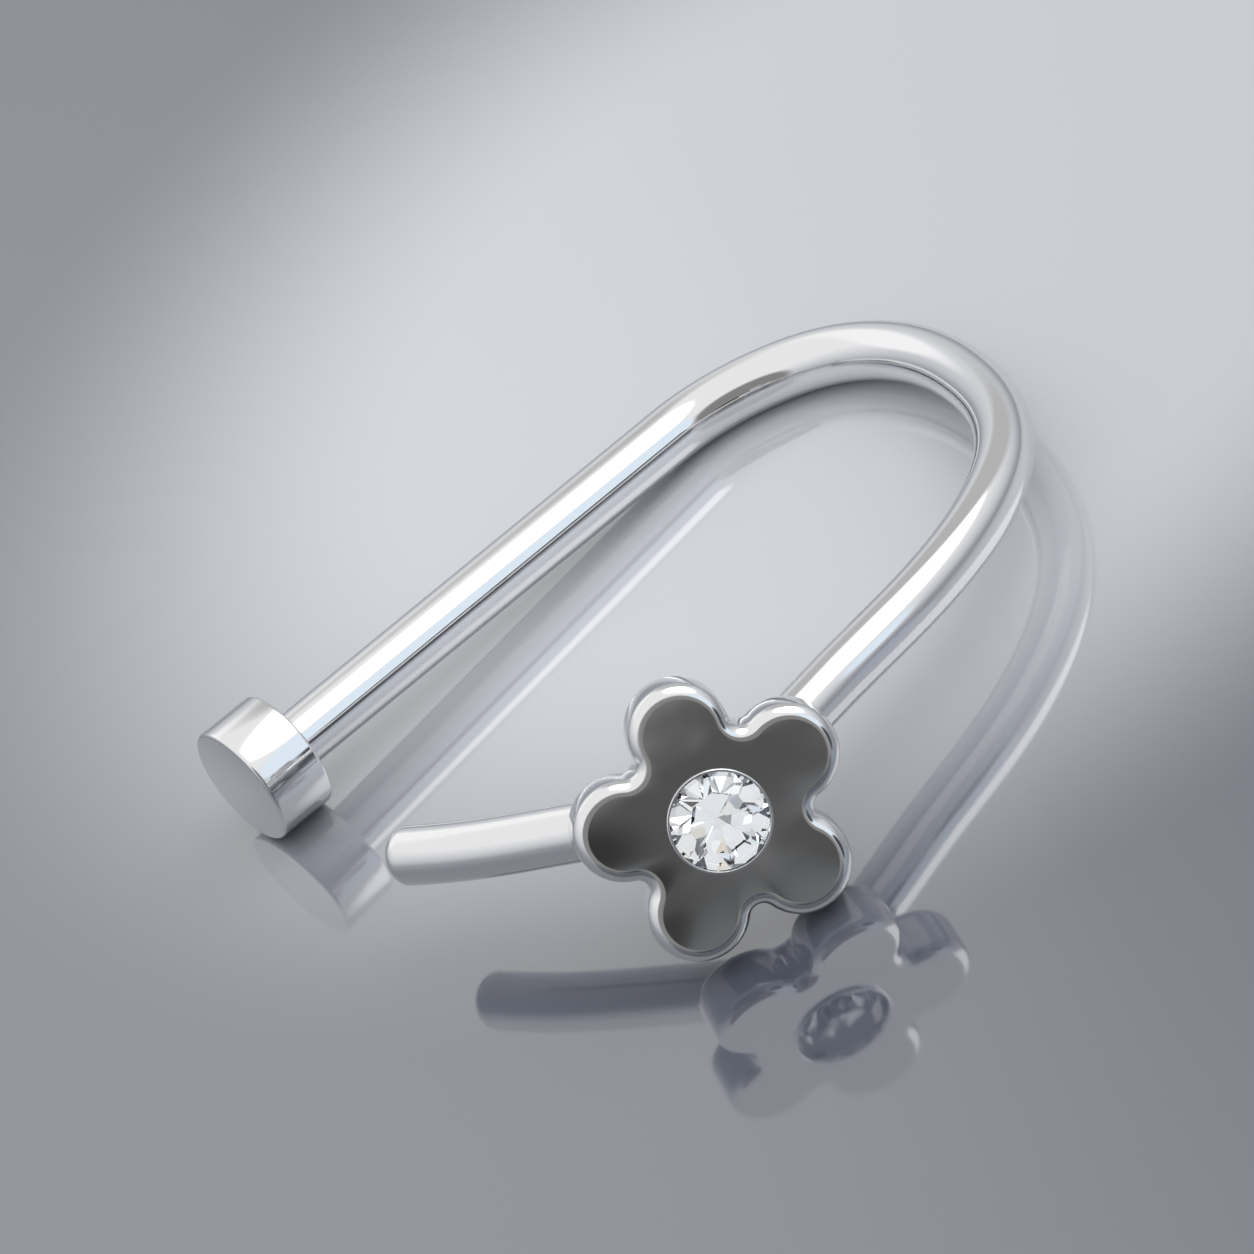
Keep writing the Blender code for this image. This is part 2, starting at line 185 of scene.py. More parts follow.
class FlowerSizes(bpy.types.PropertyGroup):
    """The flower plate and how it sits on the wire."""

    petals: count("Petals", 5, "Number of petals")
    reach: size("Reach", 1.92, "From the flower's middle to the tip of a petal")
    gap: size("Gap", 0.11, "Between the round outlines of two neighbouring petals")
    notch: size("Notch", 0.17, "Radius of the notch between two petals")
    rim: size("Rim", 0.19, "Radius of the plate's rounded rim")
    wall_under_stone: size("Wall under stone", 0.068, "Metal left below the tip of the stone's seat")
    solder_depth: size("Solder depth", 0.08, "How far the wire stands into the plate's back")
    station: amount("Station", 0.757, "Share of the bent stretch, from the straight leg's end to the tip")
    lean: angle("Lean", 14.7, "How far the face looks up out of the hoop's plane")
    turn: angle("Turn", -6.8, "How far the face is turned from square to the wire")
    drop: size("Drop", 0.12, "The flower's middle below the middle of the wire")
    petal_turn: angle("Petal turn", 13.2, "Turn of the petals in the plate's plane")
    petal_steps: count("Petal steps", 48, "Edges along the arc of a petal")
    notch_steps: count("Notch steps", 16, "Edges along the arc of a notch")
    pool_length: size("Solder length", 2.3, "Length of the pool of solder behind the flower")
    pool_width: size("Solder width", 1.25, "Width of the pool of solder")
    pool_height: size("Solder height", 0.2, "Height of the pool of solder")


class StoneSizes(bpy.types.PropertyGroup):
    """The round brilliant and the bezel that holds it."""

    diameter: size("Diameter", 1.36, "Across the stone's girdle")
    overhang: size("Overhang", 0.02, "How far the bezel's lip reaches over the stone")
    bezel_wall: size("Bezel wall", 0.04, "Thickness of the bezel")
    bezel_height: size("Bezel height", 0.04, "Of the bezel above the flower's face")
    lip_depth: size("Lip depth", 0.03, "Of the bezel's lip below the flower's face")
    clearance: size("Clearance", 0.02, "Between the stone and the metal")
    table: amount("Table", 0.58, "Width of the table as a share of the diameter")
    girdle: amount("Girdle", 0.03, "Height of the girdle as a share of the diameter")
    crown: angle("Crown", 34, "Angle of the main crown facets")
    crown_break: angle("Crown break", 8, "How much steeper the facets along the girdle are")
    star: angle("Star", 21, "Angle of the star facets beside the table")
    star_bite: amount("Star bite", 0.985, "How near the table's corners the star facets start")
    pavilion: angle("Pavilion", 42.5, "Angle of the main pavilion facets")
    pavilion_break: angle("Pavilion break", 1.6, "How much steeper the lower girdle facets are")
    mains: count("Mains", 8, "Number of main facets above and below")
    turn: angle("Turn", 9, "Turn of the stone in its seat")
    sides: count("Sides", 96, "Faces round the girdle, the bezel and the seat")


class Finish(bpy.types.PropertyGroup):
    """The polish of the steel and the stone's colour."""

    steel: color("Steel", 0.80, 0.80, 0.81, "Colour of the polished steel")
    roughness: amount("Roughness", 0.045, "Roughness of the polished steel")
    draw_lines: size("Draw lines", 0.00003, "Height of the faint lines left along the drawn wire")
    hairlines: size("Hairlines", 0.00004, "Height of the fine wear scratches")
    smears: amount("Smears", 0.05, "How much duller the steel is where it was touched")
    face_smears: amount("Face smears", 0.3, "How much duller the flower's face is where it was touched")
    stone: color("Stone", 0.97, 0.98, 1.0, "Colour of the clear stone")
    refraction: amount("Refraction", 2.2, "Index of refraction of the stone", 3)


class Studio(bpy.types.PropertyGroup):
    """Floor, lights and camera."""

    # The floor's colour paints a pool of light round the cuff. Its pale colour fills the pool and fades to
    # painted shade far from the cuff.
    floor: color("Floor", 0.52, 0.53, 0.575, "Colour of the pale floor round the cuff")
    painted_floor_shade: color("Far floor", 0.08, 0.09, 0.12, "Colour of the floor far from the cuff")
    light_pool_aside: size("Pool aside", 6, "How far the middle of the floor's pale part is along +X")
    light_pool_behind: size("Pool behind", 4.5, "How far its middle is along +Y")
    light_pool_core: size("Pool core", 6.5, "Radius of the pale part's full colour")
    light_pool_reach: size("Pool reach", 14.5, "Radius at which the pale part ends")
    floor_roughness: amount("Floor roughness", 0.06, "Roughness of the floor's smooth surface")
    floor_refraction: amount("Floor refraction", 2.5, "Index of refraction, for the floor's mirror image", 3)
    floor_width: size("Floor width", 1600, "Across the floor")
    azimuth: angle("Azimuth", -19.652, "Where the camera stands round the cuff, from -Y")
    elevation: angle("Elevation", 34.015, "Of the camera above the floor")
    roll: angle("Camera roll", 31.16, "How far the camera is turned clockwise about its line of sight")
    lens: FloatProperty(name="Lens", description="Focal length in millimetres", default=1000)
    view_width: size("View width", 16.446, "Width of the picture where it is in focus")
    aim_right: FloatProperty(
        name="Aim right", description="From the cuff's middle to the picture's", default=-0.764 * MM
    )
    aim_up: FloatProperty(
        name="Aim up", description="From the cuff's middle to the picture's", default=-0.62 * MM
    )
    aim_back: size("Aim back", 0.397, "From the cuff's middle towards the camera")
    dome: color("Dome", 1.0, 1.0, 1.0, "Colour of the light dome overhead")
    skirt: color("Skirt", 0.62, 0.64, 0.68, "Colour of the dome above the horizon")
    horizon: color("Horizon", 0.40, 0.41, 0.43, "Colour of the dome at the horizon")
    dome_strength: amount("Dome strength", 0.98, "Brightness of the dome", 10)
    horizon_top: angle("Horizon top", 0, "Elevation up to which the dome has the horizon's colour")
    skirt_foot: angle("Skirt foot", 10, "Elevation from which the dome has the skirt's colour")
    skirt_top: angle("Skirt top", 38, "Elevation from which the dome has its full colour")


def smooth_curve(points, start_direction):
    """A cubic spline through the points as a function of the distance along their chords, and its length."""
    points = np.array(points, float)
    chords = np.linalg.norm(np.diff(points, axis=0), axis=1)
    knots = np.concatenate([[0], np.cumsum(chords)])
    slopes = np.diff(points, axis=0) / chords[:, None]
    total = len(points)
    matrix = np.zeros((total, total))
    right = np.zeros_like(points)
    matrix[0, 0] = 1
    right[0] = start_direction
    for i in range(1, total - 1):
        matrix[i, i - 1 : i + 2] = chords[i], 2 * (chords[i - 1] + chords[i]), chords[i - 1]
        right[i] = 3 * (chords[i] * slopes[i - 1] + chords[i - 1] * slopes[i])
    matrix[-1, -2:] = 1, 2
    right[-1] = 3 * slopes[-1]
    tangents = np.linalg.solve(matrix, right)

    def at(distance):
        i = min(int(np.searchsorted(knots, distance, side="right")) - 1, total - 2)
        t = (distance - knots[i]) / chords[i]
        out, into = tangents[i] * chords[i], tangents[i + 1] * chords[i]
        return (
            (1 + 2 * t) * (1 - t) ** 2 * points[i]
            + t * (1 - t) ** 2 * out
            + t * t * (3 - 2 * t) * points[i + 1]
            + t * t * (t - 1) * into
        )

    return at, knots[-1]


def bent_stretch():
    """The hoop's centreline from the straight leg's end to the tip, and its length."""
    hoop = bpy.context.scene.cuff_hoop
    corners = [(s.along * hoop.length, -s.across * hoop.width) for s in BENT_STRETCH]
    return smooth_curve(corners, (1, 0))


def hoop_place():
    """The hoop's frame in the world: it starts at the record's nail_head_face and leans as it rests."""
    mounts = frame["record"]["mounts"]
    face = next(mount for mount in mounts if mount["name"] == "nail_head_face")
    along = -Vector(face["axis"])
    dip = math.atan2(-along.z, along.x)
    lean = Matrix.Rotation(bpy.context.scene.cuff_hoop.roll, 4, "X")
    return Matrix.Translation(face["pos_m"]) @ Matrix.Rotation(dip, 4, "Y") @ lean


def crown_height():
    stone = bpy.context.scene.cuff_stone
    return stone.diameter / 2 * (1 - stone.table) * math.tan(stone.crown)


def pavilion_depth():
    stone = bpy.context.scene.cuff_stone
    return stone.diameter / 2 * math.tan(stone.pavilion)


def girdle_top():
    """The girdle's upper edge, measured from the flower's face: the crown just clears the bezel's lip."""
    stone = bpy.context.scene.cuff_stone
    slack = stone.clearance / math.cos(stone.crown)
    return -stone.lip_depth - slack - stone.overhang * math.tan(stone.crown)


def seat_tip():
    stone = bpy.context.scene.cuff_stone
    girdle_bottom = girdle_top() - stone.girdle * stone.diameter
    return girdle_bottom - pavilion_depth() - stone.clearance / math.cos(stone.pavilion)


def plate_thickness():
    return bpy.context.scene.cuff_flower.wall_under_stone - seat_tip()


def flower_place():
    """The flower's frame in the hoop's: its origin in the middle of the face, and Z out of the face."""
    hoop, flower = bpy.context.scene.cuff_hoop, bpy.context.scene.cuff_flower
    at, length = bent_stretch()
    here = Vector((*at(flower.station * length), 0))
    along = Vector((*at(flower.station * length + WIRE_SAMPLE), 0)) - here
    level_turn = math.atan2(-along.y, -along.x) - flower.turn
    facing = Matrix.Rotation(level_turn, 4, "Z") @ Matrix.Rotation(math.pi / 2 - flower.lean, 4, "X")
    stand_off = hoop.wire / 2 - flower.solder_depth + plate_thickness()
    return Matrix.Translation(here) @ facing @ Matrix.Translation((0, -flower.drop, stand_off))


def spin_profile(bm, corners, steps):
    """Turns a line through the corners, given as (radius, height), about Z."""
    line = [bm.verts.new((radius, 0, height)) for radius, height in corners]
    edges = [bm.edges.new(pair) for pair in zip(line, line[1:])]
    bmesh.ops.spin(
        bm,
        geom=line + edges,
        cent=(0, 0, 0),
        axis=(0, 0, 1),
        dvec=(0, 0, 0),
        angle=2 * math.pi,
        steps=steps,
        use_merge=True,
        use_normal_flip=False,
        use_duplicate=False,
    )
    bmesh.ops.remove_doubles(bm, verts=bm.verts, dist=WELD_DISTANCE)


def only(items, kind):
    """The vertices or the edges among what an operator made."""
    return [item for item in items if isinstance(item, kind)]


def extrude_loop(bm, edges):
    """Extrudes a closed line of edges in place, and returns the new line's vertices and edges."""
    made = bmesh.ops.extrude_edge_only(bm, edges=edges)["geom"]
    ring = set(only(made, bmesh.types.BMVert))
    return list(ring), [edge for edge in only(made, bmesh.types.BMEdge) if ring.issuperset(edge.verts)]


def round_edges(bm, edges, radius, segments):
    bmesh.ops.bevel(
        bm,
        geom=edges,
        offset=radius,
        offset_type="OFFSET",
        affect="EDGES",
        segments=segments,
        profile=0.5,
        material=-1,
        clamp_overlap=False,
    )


def new_piece(name, bm, place, material, nodes=()):
    """Lays the finished shape in the world as a piece of the cuff, and returns it."""
    bmesh.ops.transform(bm, matrix=hoop_place() @ place, verts=bm.verts)
    bmesh.ops.recalc_face_normals(bm, faces=bm.faces)
    mesh = bpy.data.meshes.new(name)
    bm.to_mesh(mesh)
    bm.free()
    mesh.shade_smooth()
    mesh.set_sharp_from_angle(angle=SHARP_ANGLE)
    mesh.materials.append(material)
    piece = bpy.data.objects.new(name, mesh)
    bpy.context.scene.collection.objects.link(piece)
    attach(piece, BODY)
    if nodes:
        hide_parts(*nodes)
    return piece


def keep_flats_flat(piece):
    """Lets the large flat faces rule the shading at their rounded edges, as true polish does."""
    modifier = piece.modifiers.new("flat_faces", "WEIGHTED_NORMAL")
    modifier.mode = "FACE_AREA"
    modifier.weight = FLAT_WEIGHT
    modifier.keep_sharp = True


def ring_places():
    """A frame for each ring of the wire, with Z along the wire, from inside the nail head to the tip."""
    hoop, head = bpy.context.scene.cuff_hoop, bpy.context.scene.cuff_head
    at, length = bent_stretch()
    nudge = hoop.ring_step * NUDGE_SHARE
    bent = length - hoop.tip_rounding
    rings = math.ceil(bent / hoop.ring_step)
    straight = at(0)[0] - head.thickness / 2
    straight_rings = math.ceil(straight / hoop.ring_step)
    route = []
    for i in range(straight_rings):
        route.append(((head.thickness / 2 + straight * i / straight_rings, 0), (1, 0), 1))
    for i in range(rings + 1):
        here = at(bent * i / rings)
        route.append((here, at(bent * i / rings + nudge) - here, 1))
    for step in range(1, hoop.tip_rings + 1):
        turned = math.pi / 2 * step / hoop.tip_rings
        distance = bent + hoop.tip_rounding * math.sin(turned)
        thinner = hoop.tip_rounding * (1 - math.cos(turned)) / (hoop.wire / 2)
        route.append((at(distance), at(distance) - at(distance - nudge), 1 - thinner))
    places = []
    for (x, y), (along_x, along_y), share in route:
        heading = Matrix.Rotation(math.atan2(along_y, along_x), 4, "Z")
        upright = Matrix.Rotation(math.pi / 2, 4, "Y")
        places.append(Matrix.Translation((x, y, 0)) @ heading @ upright @ Matrix.Scale(share, 4))
    return places


def sweep_circle(bm, places, radius, sides):
    """A tube whose rings lie in the given places, with both ends closed."""
    bmesh.ops.create_circle(bm, segments=sides, radius=radius, matrix=places[0])
    bmesh.ops.contextual_create(bm, geom=bm.edges[:])
    edges = bm.edges[:]
    for here, there in zip(places, places[1:]):
        ring, edges = extrude_loop(bm, edges)
        bmesh.ops.transform(bm, matrix=there @ here.inverted(), verts=ring)
    bmesh.ops.contextual_create(bm, geom=edges)


def spin_arc(bm, start, centre, turn, steps):
    """Draws an arc of edges from the start vertex round the centre, and returns its last vertex."""
    made = bmesh.ops.spin(
        bm,
        geom=[start],
        cent=(*centre, 0),
        axis=(0, 0, 1),
        dvec=(0, 0, 0),
        angle=turn,
        steps=steps,
        use_merge=False,
        use_normal_flip=False,
        use_duplicate=False,
    )
    return made["geom_last"][0]


def draw_petals(bm):
    """The flower's outline: round petals, with a small round notch that touches each pair of neighbours."""
    flower = bpy.context.scene.cuff_flower
    half = math.pi / flower.petals
    middle = (flower.reach + flower.gap / 2) / (1 + math.sin(half))
    radius = flower.reach - middle
    rise = math.sqrt((radius + flower.notch) ** 2 - (middle * math.sin(half)) ** 2)
    notch_middle = middle * math.cos(half) + rise
    touch = math.atan2(notch_middle * math.sin(half), notch_middle * math.cos(half) - middle)
    into_notch = touch + math.pi - half
    start = (middle + radius * math.cos(touch), -radius * math.sin(touch), 0)
    pen = bm.verts.new(start)
    for petal in range(flower.petals):
        turn = 2 * half * petal
        petal_at = middle * Vector((math.cos(turn), math.sin(turn)))
        pen = spin_arc(bm, pen, petal_at, 2 * touch, flower.petal_steps)
        notch_at = notch_middle * Vector((math.cos(turn + half), math.sin(turn + half)))
        pen = spin_arc(bm, pen, notch_at, 2 * (math.pi - into_notch), flower.notch_steps)
    bmesh.ops.remove_doubles(bm, verts=bm.verts, dist=OUTLINE_WELD)
    bmesh.ops.rotate(bm, verts=bm.verts, matrix=Matrix.Rotation(flower.petal_turn, 3, "Z"))


def open_seat(bm):
    """Cuts the stone's seat into the plate's face, which lies at Z = 0: a mouth, a chamber and a cone."""
    stone = bpy.context.scene.cuff_stone
    mouth = stone.diameter / 2 - stone.overhang
    chamber = stone.diameter / 2 + stone.clearance
    shoulder = seat_tip() + chamber * math.tan(stone.pavilion)
    face = max(bm.faces, key=lambda f: f.calc_center_median().z + f.calc_area())
    rim = face.edges[:]
    bmesh.ops.delete(bm, geom=[face], context="FACES_ONLY")
    circle = bmesh.ops.create_circle(bm, segments=len(rim), radius=mouth)["verts"]
    edges = list({edge for vert in circle for edge in vert.link_edges})
    bmesh.ops.bridge_loops(bm, edges=rim + edges)
    here = (mouth, 0)
    for there in ((mouth, -stone.lip_depth), (chamber, -stone.lip_depth), (chamber, shoulder)):
        edges = extrude_ring(bm, edges, here, there)
        here = there
    edges = extrude_ring(bm, edges, here, (WELD_DISTANCE, seat_tip()))
    tip = {vert for edge in edges for vert in edge.verts}
    bmesh.ops.remove_doubles(bm, verts=list(tip), dist=TIP_WELD)


def extrude_ring(bm, edges, here, there):
    """Draws a level ring out to another radius and height, each given as (radius, height)."""
    ring, edges = extrude_loop(bm, edges)
    wider = there[0] / here[0]
    bmesh.ops.scale(bm, vec=(wider, wider, 1), verts=ring)
    bmesh.ops.translate(bm, vec=(0, 0, there[1] - here[1]), verts=ring)
    return edges


def cut_facets(bm, total, first_turn, lean, distance, side):
    """Grinds flats evenly round the stone, each at that angle from level and that distance from Z = 0."""
    for facet in range(total):
        turn = first_turn + 2 * math.pi * facet / total
        level = Vector((math.cos(turn), math.sin(turn), 0))
        out = math.sin(lean) * level + side * math.cos(lean) * Vector((0, 0, 1))
        everything = bm.verts[:] + bm.edges[:] + bm.faces[:]
        cut = bmesh.ops.bisect_plane(
            bm, geom=everything, dist=CUT_DISTANCE, plane_co=out * distance, plane_no=out, clear_outer=True
        )
        edges = only(cut["geom_cut"], bmesh.types.BMEdge)
        if edges:
            bmesh.ops.contextual_create(bm, geom=edges)


def socket(tree, name, kind, way, default=None):
    """Adds an input or output to a node group."""
    made = tree.interface.new_socket(name=name, in_out=way, socket_type=kind)
    if default is not None:
        made.default_value = default


def polish_marks():
    """The shared marks on polished metal: lines along one direction, crossing hairlines and faint smears."""
    tree = bpy.data.node_groups.get("polish_marks")
    if tree:
        return tree
    tree = bpy.data.node_groups.new("polish_marks", "ShaderNodeTree")
    socket(tree, "Vector", "NodeSocketVector", "INPUT")
    socket(tree, "Roughness", "NodeSocketFloat", "INPUT", 0.05)
    socket(tree, "Line Height", "NodeSocketFloat", "INPUT", 0.0)
    socket(tree, "Hairline Height", "NodeSocketFloat", "INPUT", 0.0)
    socket(tree, "Smears", "NodeSocketFloat", "INPUT", 0.05)
    socket(tree, "Roughness", "NodeSocketFloat", "OUTPUT")
    socket(tree, "Height", "NodeSocketFloat", "OUTPUT")
    nodes, links = tree.nodes, tree.links
    entry = nodes.new("NodeGroupInput")
    leave = nodes.new("NodeGroupOutput")

    def stretched(scale, turn):
        mapping = nodes.new("ShaderNodeMapping")
        mapping.inputs["Rotation"].default_value = turn
        mapping.inputs["Scale"].default_value = scale
        links.new(entry.outputs["Vector"], mapping.inputs["Vector"])
        noise = nodes.new("ShaderNodeTexNoise")
        noise.inputs["Scale"].default_value = 1
        noise.inputs["Detail"].default_value = 2
        links.new(mapping.outputs["Vector"], noise.inputs["Vector"])
        return noise.outputs["Fac"]

    def math_node(operation, first, second, third=None):
        node = nodes.new("ShaderNodeMath")
        node.operation = operation
        for slot, value in zip(node.inputs, (first, second, third)):
            if isinstance(value, bpy.types.NodeSocket):
                links.new(value, slot)
            elif value is not None:
                slot.default_value = value
        return node.outputs[0]

    def mask(marks):
        node = nodes.new("ShaderNodeMapRange")
        node.interpolation_type = "SMOOTHSTEP"
        node.inputs["From Min"].default_value = marks.low
        node.inputs["From Max"].default_value = marks.high
        links.new(stretched(marks.scale, marks.turn), node.inputs["Value"])
        return node.outputs["Result"]

    lines = stretched(DRAW_LINES_SCALE, (0, 0, 0))
    scratches = math_node("MAXIMUM", *(mask(marks) for marks in HAIRLINES))
    smears = mask(SMEARS)
    raised = math_node("MULTIPLY", lines, entry.outputs["Line Height"])
    height = math_node("MULTIPLY_ADD", scratches, entry.outputs["Hairline Height"], raised)
    duller = math_node("MULTIPLY", smears, entry.outputs["Smears"])
    scratched = math_node("MULTIPLY_ADD", scratches, SCRATCH_ROUGHNESS, duller)
    links.new(math_node("ADD", scratched, entry.outputs["Roughness"]), leave.inputs["Roughness"])
    links.new(height, leave.inputs["Height"])
    return tree


def polished_steel(name, place, lines, smears):
    """Polished stainless steel. The place is the frame whose XY plane its lines lie in."""
    finish = bpy.context.scene.cuff_finish
    material = bpy.data.materials.new(name)
    material.use_nodes = True
    nodes, links = material.node_tree.nodes, material.node_tree.links
    shader = nodes["Principled BSDF"]
    shader.inputs["Base Color"].default_value = (*finish.steel, 1)
    shader.inputs["Metallic"].default_value = 1
    where = nodes.new("ShaderNodeTexCoord")
    mapping = nodes.new("ShaderNodeMapping")
    back = place.inverted()
    mapping.inputs["Rotation"].default_value = back.to_euler()
    mapping.inputs["Location"].default_value = back.translation
    links.new(where.outputs["Object"], mapping.inputs["Vector"])
    marks = nodes.new("ShaderNodeGroup")
    marks.node_tree = polish_marks()
    marks.inputs["Roughness"].default_value = finish.roughness
    marks.inputs["Line Height"].default_value = lines
    marks.inputs["Hairline Height"].default_value = finish.hairlines
    marks.inputs["Smears"].default_value = smears
    links.new(mapping.outputs["Vector"], marks.inputs["Vector"])
    bump = nodes.new("ShaderNodeBump")
    bump.inputs["Strength"].default_value = 1
    bump.inputs["Distance"].default_value = 1
    links.new(marks.outputs["Height"], bump.inputs["Height"])
    links.new(marks.outputs["Roughness"], shader.inputs["Roughness"])
    links.new(bump.outputs["Normal"], shader.inputs["Normal"])
    return material


def clear_stone():
    finish = bpy.context.scene.cuff_finish
    material = bpy.data.materials.new("clear_stone")
    material.use_nodes = True
    shader = material.node_tree.nodes["Principled BSDF"]
    shader.inputs["Base Color"].default_value = (*finish.stone, 1)
    shader.inputs["Transmission Weight"].default_value = 1
    shader.inputs["Roughness"].default_value = 0
    shader.inputs["IOR"].default_value = finish.refraction
    return material


class CUFF_OT_hoop(bpy.types.Operator):
    """Bend the round wire to the D-shaped hoop"""

    bl_idname = "lip_cuff.hoop"
    bl_label = "Hoop"

    def execute(self, context):
        hoop = context.scene.cuff_hoop
        bm = bmesh.new()
        sweep_circle(bm, ring_places(), hoop.wire / 2, hoop.sides)
        finish = context.scene.cuff_finish
        steel = polished_steel("drawn_steel", hoop_place(), finish.draw_lines, finish.smears)
        piece = new_piece("hoop", bm, Matrix.Identity(4), steel, ["hoop_with_flower"])
        keep_flats_flat(piece)
        return {"FINISHED"}


class CUFF_OT_nail_head(bpy.types.Operator):
    """Turn the nail head, with its fillet round the wire"""

    bl_idname = "lip_cuff.nail_head"
    bl_label = "Nail head"

    def execute(self, context):
        hoop, head = context.scene.cuff_hoop, context.scene.cuff_head
        wire, outer = hoop.wire / 2, head.diameter / 2
        sunk = wire - head.collar * HIDDEN_SHARE
        profile = [(0, 0), (outer, 0), (outer, head.thickness), (wire, head.thickness)]
        profile += [(sunk, head.thickness + 2 * head.collar), (0, head.thickness + 2 * head.collar)]
        bm = bmesh.new()
        spin_profile(bm, profile, head.sides)

        def ring(radius, height):
            """The edges of the turned ring at that radius and height."""
            return [
                edge
                for edge in bm.edges
                if all(
                    abs(vert.co.xy.length - radius) < SAME_PLACE and abs(vert.co.z - height) < SAME_PLACE
                    for vert in edge.verts
                )
            ]

        round_edges(bm, ring(outer, 0) + ring(outer, head.thickness), head.edge, EDGE_STEPS)
        round_edges(bm, ring(wire, head.thickness), head.collar, EDGE_STEPS)
        place = Matrix.Rotation(math.pi / 2, 4, "Y")
        steel = polished_steel("turned_steel", hoop_place() @ place, 0, context.scene.cuff_finish.smears)
        keep_flats_flat(new_piece("nail_head", bm, place, steel))
        return {"FINISHED"}


class CUFF_OT_flower(bpy.types.Operator):
    """Cut the flower plate, round its rim and open the stone's seat"""

    bl_idname = "lip_cuff.flower"
    bl_label = "Flower"

    def execute(self, context):
        flower = context.scene.cuff_flower
        bm = bmesh.new()
        draw_petals(bm)
        bmesh.ops.contextual_create(bm, geom=bm.edges[:])
        made = bmesh.ops.extrude_face_region(bm, geom=bm.faces[:])["geom"]
        bmesh.ops.translate(bm, vec=(0, 0, -plate_thickness()), verts=only(made, bmesh.types.BMVert))
        bmesh.ops.recalc_face_normals(bm, faces=bm.faces)
        rims = [edge for edge in bm.edges if abs(edge.verts[0].co.z - edge.verts[1].co.z) < WELD_DISTANCE]
        round_edges(bm, rims, flower.rim, RIM_STEPS)
        open_seat(bm)
        place = flower_place()
        smears = context.scene.cuff_finish.face_smears
        steel = polished_steel("flower_steel", hoop_place() @ place, 0, smears)
        keep_flats_flat(new_piece("flower", bm, place, steel))
        return {"FINISHED"}


class CUFF_OT_solder(bpy.types.Operator):
    """Let the solder flow between the wire and the flower's back"""

    bl_idname = "lip_cuff.solder"
    bl_label = "Solder"

    def execute(self, context):
        flower, stone = context.scene.cuff_flower, context.scene.cuff_stone
        sink = flower.solder_depth * HIDDEN_SHARE
        shares = [i / SOLDER_RINGS for i in range(SOLDER_RINGS + 1)]
        profile = [(share, (1 - share**2) ** 2) for share in shares]
        bm = bmesh.new()
        spin_profile(bm, profile, stone.sides)
        shape = (flower.pool_length / 2, flower.pool_width / 2, -flower.pool_height - sink)
        bmesh.ops.scale(bm, vec=shape, verts=bm.verts)
        bmesh.ops.translate(bm, vec=(0, flower.drop, sink - plate_thickness()), verts=bm.verts)
        bmesh.ops.contextual_create(bm, geom=[edge for edge in bm.edges if edge.is_boundary])
        place = flower_place()
        steel = polished_steel("solder", hoop_place() @ place, 0, context.scene.cuff_finish.smears)
        keep_flats_flat(new_piece("solder", bm, place, steel))
        return {"FINISHED"}


class CUFF_OT_bezel(bpy.types.Operator):
    """Turn the thin bezel that holds the stone"""

    bl_idname = "lip_cuff.bezel"
    bl_label = "Bezel"

    def execute(self, context):
        stone = context.scene.cuff_stone
        inner = stone.diameter / 2 - stone.overhang
        outer = inner + stone.bezel_wall
        top, foot = stone.bezel_height, -stone.lip_depth
        bm = bmesh.new()
        corners = [(outer, foot), (outer, top), (inner, top), (inner, foot), (outer, foot)]
        spin_profile(bm, corners, stone.sides)
        rims = []
        for edge in bm.edges:
            first, second = (vert.co for vert in edge.verts)
            at_top = max(abs(first.z - top), abs(second.z - top)) < WELD_DISTANCE
            if at_top and abs(first.xy.length - second.xy.length) < WELD_DISTANCE:
                rims.append(edge)
        round_edges(bm, rims, min(stone.bezel_wall, top) * BEZEL_ROUNDING, BEZEL_STEPS)
        place = flower_place()
        steel = polished_steel("bezel_steel", hoop_place() @ place, 0, context.scene.cuff_finish.smears)
        keep_flats_flat(new_piece("bezel", bm, place, steel))
        return {"FINISHED"}


class CUFF_OT_stone(bpy.types.Operator):
    """Cut the round brilliant: table, stars, mains and girdle facets above, mains and girdle facets below"""

    bl_idname = "lip_cuff.stone"
    bl_label = "Stone"

    def execute(self, context):
        stone = context.scene.cuff_stone
        radius = stone.diameter / 2
        girdle = stone.girdle * stone.diameter
        table, depth = crown_height(), pavilion_depth()
        sides = 2 * stone.mains
        half_step = math.pi / sides
        bm = bmesh.new()
        bmesh.ops.create_cone(
            bm,
            cap_ends=True,
            segments=stone.sides,
            radius1=radius,
            radius2=radius,
            depth=table + girdle + depth,
            matrix=Matrix.Translation((0, 0, (table - girdle - depth) / 2)),
        )

        def reach(lean, at_radius, height):
            return math.sin(lean) * at_radius + math.cos(lean) * height

        cut_facets(bm, stone.mains, 0, stone.crown, reach(stone.crown, radius, 0), 1)
        steeper = stone.crown + stone.crown_break
        cut_facets(bm, sides, half_step, steeper, reach(steeper, radius, 0), 1)
        star_edge = stone.table * radius * stone.star_bite / math.cos(2 * half_step)
        cut_facets(bm, stone.mains, 2 * half_step, stone.star, reach(stone.star, star_edge, table), 1)
        cut_facets(bm, stone.mains, 0, stone.pavilion, reach(stone.pavilion, radius, girdle), -1)
        steeper = stone.pavilion + stone.pavilion_break
        cut_facets(bm, sides, half_step, steeper, reach(steeper, radius, girdle), -1)
        bmesh.ops.rotate(bm, verts=bm.verts, matrix=Matrix.Rotation(stone.turn, 3, "Z"))
        bmesh.ops.translate(bm, verts=bm.verts, vec=(0, 0, girdle_top()))
        piece = new_piece("stone_brilliant", bm, flower_place(), clear_stone(), ["stone"])
        piece.data.shade_flat()
        return {"FINISHED"}


def look_from(azimuth, elevation):
    """The direction out of the scene at that azimuth, measured as the camera's, and elevation."""
    level = math.cos(elevation)
    return Vector((math.sin(azimuth) * level, -math.cos(azimuth) * level, math.sin(elevation)))


